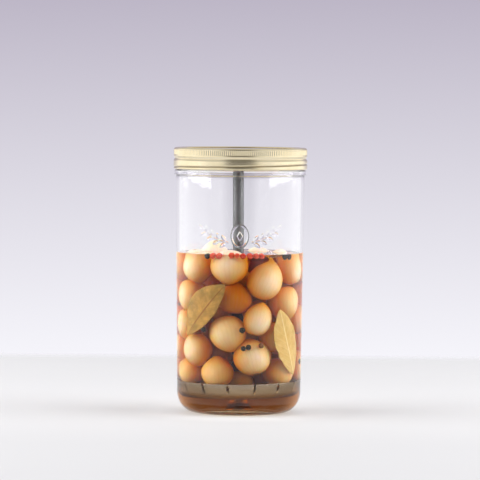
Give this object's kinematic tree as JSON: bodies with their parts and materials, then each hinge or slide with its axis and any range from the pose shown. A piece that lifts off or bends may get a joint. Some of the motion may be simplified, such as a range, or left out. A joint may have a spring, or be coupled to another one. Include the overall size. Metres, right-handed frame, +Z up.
{
  "type": "jar of pickled onions with a lifter",
  "caption": "Tall straight glass preserving jar with a two-piece gold screw lid, a steel lifter on a rod, pickled onions and bay leaves inside.",
  "frame": {"origin": "centre of the jar's base, on the surface that it stands on", "axes": "+Z up along the jar's axis, -Y to the front with the moulded medallion, +X to the right as seen from the front"},
  "size_m": [0.1, 0.1, 0.197],
  "materials": {
    "clear_glass": "clear, smooth",
    "gold_band": "gold-lacquered tinplate, satin",
    "gold_disc": "gold-lacquered tinplate, satin",
    "steel": "brushed",
    "pickled_onion": "moist, slightly translucent",
    "bay_leaf": "matt dried leaf"
  },
  "bodies": {
    "root": {"jar": "clear_glass", "screw_band": "gold_band", "lid_disc": "gold_disc", "lifter": "steel", "onions": "pickled_onion", "bay_leaf_left": "bay_leaf", "bay_leaf_right": "bay_leaf"}
  },
  "joints": []
}
